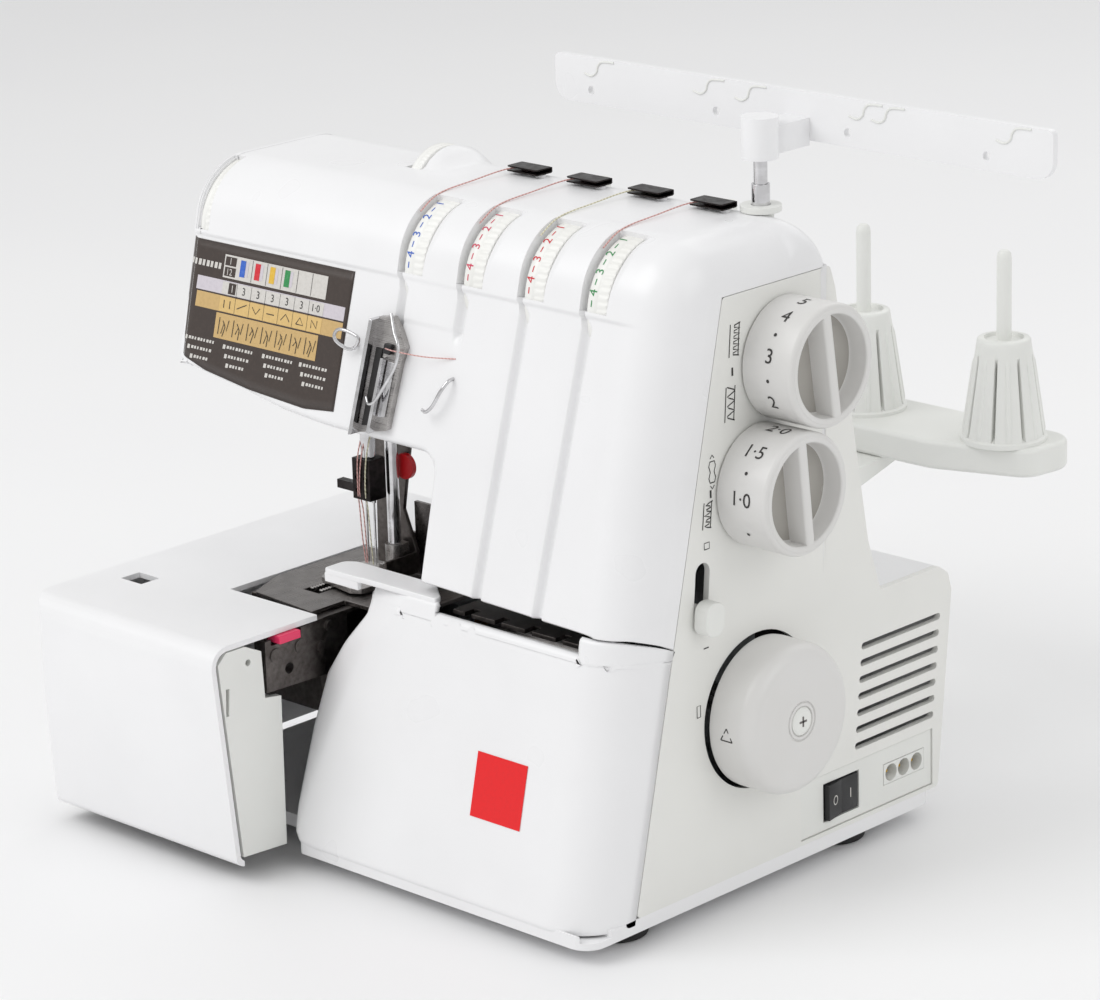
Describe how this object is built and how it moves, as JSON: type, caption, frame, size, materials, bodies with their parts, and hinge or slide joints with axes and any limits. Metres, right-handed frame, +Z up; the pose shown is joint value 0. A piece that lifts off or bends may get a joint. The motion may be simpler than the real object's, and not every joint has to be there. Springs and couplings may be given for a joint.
{
  "type": "serger overlock machine",
  "caption": "Free-standing overlock sewing machine with tension dials on a sloping front, a looper cover, a pull-off extension table, side dials, a handwheel and a telescopic thread stand.",
  "frame": {"origin": "middle of the footprint, on the surface that the feet stand on", "axes": "+X to the handwheel side, +Y to the back with the spool stand, +Z up"},
  "size_m": [0.426, 0.391, 0.343],
  "materials": {
    "casing_white": "moulded ABS, glossy",
    "soft_white": "moulded ABS, satin",
    "dial_white": "moulded, ribbed",
    "grey_knob": "moulded, light grey",
    "steel": "ground",
    "bright_metal": "polished",
    "grey_metal": "grey plating",
    "cast_frame": "die cast",
    "dark_metal": "black oxide",
    "black_plastic": "moulded",
    "rubber": "matt",
    "label_brown": "printed label",
    "red_plastic": "moulded",
    "pink_plastic": "moulded",
    "lens": "frosted",
    "thread": "twisted polyester",
    "bronze": "sintered"
  },
  "bodies": {
    "frame": {"base_tray": "casing_white", "rubber_feet": "rubber", "inner_frame": "cast_frame", "front_casing": "casing_white", "rear_casing": "casing_white", "side_panel": "casing_white", "power_panel": "casing_white", "power_inlet": "soft_white", "program_panel": "label_brown", "free_arm": "grey_metal", "looper_side_plate": "grey_metal", "needle_plate": "steel", "looper_guide_plate": "grey_metal", "lower_knife": "steel", "knife_guard": "steel", "thread_guard": "bright_metal", "thread_guides": "bright_metal", "lamp_lens": "lens", "tension_units": "bright_metal", "threads": "thread", "shaft_bearings": "bronze", "drive_belt": "rubber", "motor": "dark_metal", "pole_outer_tube": "soft_white", "spool_stand": "casing_white"},
    "program_wheel": {"program_dial": "dial_white"},
    "pressure_wheel": {"foot_pressure_dial": "dial_white"},
    "cover_slider": {"cover_hinge_pins": "steel"},
    "cover": {"looper_cover": "casing_white"},
    "table": {"extension_table": "casing_white", "table_inner_plate": "soft_white"},
    "button": {"release_button": "pink_plastic"},
    "main_feed": {"main_feed_dog": "steel"},
    "differential_feed": {"differential_feed_dog": "steel"},
    "lower_looper_lever": {"lower_looper": "bright_metal"},
    "upper_looper_lever": {"upper_looper": "bright_metal"},
    "knife": {"knife_arm": "steel", "knife_knob": "red_plastic"},
    "presser": {"presser_bar": "bright_metal", "presser_foot": "steel"},
    "lifter": {"presser_lifter": "dark_metal"},
    "needle_slide": {"needle_bar": "bright_metal", "needle_clamp": "dark_metal", "needles": "bright_metal"},
    "rocker": {"needle_rocker": "cast_frame"},
    "tension_1": {"tension_dial_1": "dial_white"},
    "tension_2": {"tension_dial_2": "dial_white"},
    "tension_3": {"tension_dial_3": "dial_white"},
    "tension_4": {"tension_dial_4": "dial_white"},
    "stitch_dial": {"stitch_length_dial": "grey_knob"},
    "feed_dial": {"differential_dial": "grey_knob"},
    "plate_knob": {"plate_setting_knob": "soft_white"},
    "drive": {"main_shaft": "steel", "handwheel": "grey_knob", "handwheel_screw": "bright_metal"},
    "motor_rotor": {"motor_pulley": "steel"},
    "switch": {"power_rocker": "black_plastic"},
    "pole_middle": {"pole_middle_tube": "bright_metal"},
    "pole_top": {"pole_rod": "bright_metal"},
    "bar": {"thread_bar": "casing_white"}
  },
  "joints": [
    {"name": "handwheel_turn", "type": "hinge", "parent": "frame", "child": "drive", "pos_m": [0.101, -0.04487, 0.0853], "axis": [1, 0, 0], "continuous": true},
    {"name": "motor_spin", "type": "hinge", "parent": "frame", "child": "motor_rotor", "pos_m": [0.031, 0.04353, 0.058], "axis": [1, 0, 0], "continuous": true},
    {"name": "cover_slide", "type": "slide", "parent": "frame", "child": "cover_slider", "axis": [1, 0, 0], "range_m": [0, 0.008]},
    {"name": "cover_open", "type": "hinge", "parent": "cover_slider", "child": "cover", "pos_m": [0.011, -0.14847, 0.02], "axis": [1, 0, 0], "range_deg": [0, 80]},
    {"name": "table_pull", "type": "slide", "parent": "frame", "child": "table", "axis": [-1, 0, 0], "range_m": [0, 0.14]},
    {"name": "button_press", "type": "slide", "parent": "frame", "child": "button", "axis": [-1, 0, 0], "range_m": [0, 0.003], "stiffness_N_per_m": 250},
    {"name": "main_feed_move", "type": "slide", "parent": "frame", "child": "main_feed", "axis": [0, 1, 0], "range_m": [-0.002, 0.002]},
    {"name": "differential_feed_move", "type": "slide", "parent": "frame", "child": "differential_feed", "axis": [0, 1, 0], "range_m": [-0.002, 0.002]},
    {"name": "lower_looper_swing", "type": "hinge", "parent": "frame", "child": "lower_looper_lever", "pos_m": [-0.049, -0.08047, 0.05], "axis": [0, 1, 0], "range_deg": [-12, 12]},
    {"name": "upper_looper_swing", "type": "hinge", "parent": "frame", "child": "upper_looper_lever", "pos_m": [-0.039, -0.09297, 0.07], "axis": [0, 1, 0], "range_deg": [-8, 8]},
    {"name": "knife_move", "type": "slide", "parent": "frame", "child": "knife", "axis": [0, 0, 1], "range_m": [-0.003, 0.005]},
    {"name": "lifter_raise", "type": "hinge", "parent": "frame", "child": "lifter", "pos_m": [-0.082, -0.01847, 0.221], "axis": [1, 0, 0], "range_deg": [0, 30]},
    {"name": "presser_lift", "type": "slide", "parent": "frame", "child": "presser", "axis": [0, 0, 1], "range_m": [0, 0.0061]},
    {"name": "rocker_swing", "type": "hinge", "parent": "frame", "child": "rocker", "pos_m": [-0.029, -0.03247, 0.235], "axis": [1, 0, 0], "range_deg": [-8.49, 19.1]},
    {"name": "needle_move", "type": "slide", "parent": "frame", "child": "needle_slide", "axis": [0, 0, 1], "range_m": [-0.01801, 0.00801]},
    {"name": "stitch_length_turn", "type": "hinge", "parent": "frame", "child": "stitch_dial", "pos_m": [0.101, -0.02647, 0.2386], "axis": [1, 0, 0], "range_deg": [-135, 135]},
    {"name": "differential_turn", "type": "hinge", "parent": "frame", "child": "feed_dial", "pos_m": [0.101, -0.04377, 0.1866], "axis": [1, 0, 0], "range_deg": [-135, 135]},
    {"name": "plate_setting", "type": "slide", "parent": "frame", "child": "plate_knob", "axis": [0, 0.0924, 0.9957], "range_m": [0, 0.018]},
    {"name": "program_turn", "type": "hinge", "parent": "frame", "child": "program_wheel", "pos_m": [-0.185, -0.06422, 0.262], "axis": [1, 0, 0], "range_deg": [-150, 150]},
    {"name": "foot_pressure_turn", "type": "hinge", "parent": "frame", "child": "pressure_wheel", "pos_m": [-0.101, -0.02547, 0.281], "axis": [1, 0, 0], "range_deg": [-120, 120]},
    {"name": "switch_rock", "type": "hinge", "parent": "frame", "child": "switch", "pos_m": [0.099, 0.01053, 0.0285], "axis": [0, 0, 1], "range_deg": [-11, 0]},
    {"name": "pole_slide", "type": "slide", "parent": "frame", "child": "pole_middle", "axis": [0, 0, 1], "range_m": [0, 0.12]},
    {"name": "pole_top_slide", "type": "slide", "parent": "pole_middle", "child": "pole_top", "axis": [0, 0, 1], "range_m": [0, 0.12]},
    {"name": "bar_swivel", "type": "hinge", "parent": "pole_top", "child": "bar", "pos_m": [0.077, -0.01147, 0.322], "axis": [0, 0, 1], "range_deg": [-90, 90]},
    {"name": "tension_1_turn", "type": "hinge", "parent": "frame", "child": "tension_1", "pos_m": [-0.0498, -0.06422, 0.262], "axis": [1, 0, 0], "range_deg": [-150, 150]},
    {"name": "tension_2_turn", "type": "hinge", "parent": "frame", "child": "tension_2", "pos_m": [-0.0136, -0.06422, 0.262], "axis": [1, 0, 0], "range_deg": [-150, 150]},
    {"name": "tension_3_turn", "type": "hinge", "parent": "frame", "child": "tension_3", "pos_m": [0.0226, -0.06422, 0.262], "axis": [1, 0, 0], "range_deg": [-150, 150]},
    {"name": "tension_4_turn", "type": "hinge", "parent": "frame", "child": "tension_4", "pos_m": [0.0588, -0.06422, 0.262], "axis": [1, 0, 0], "range_deg": [-150, 150]}
  ],
  "couplings": [
    {"joint": "motor_spin", "follows": "handwheel_turn", "ratio": 3.2159},
    {"joint": "differential_feed_move", "follows": "main_feed_move", "ratio": 1},
    {"joint": "presser_lift", "follows": "lifter_raise", "m_per_rad": 0.011459},
    {"joint": "needle_move", "follows": "rocker_swing", "m_per_rad": -0.054}
  ]
}
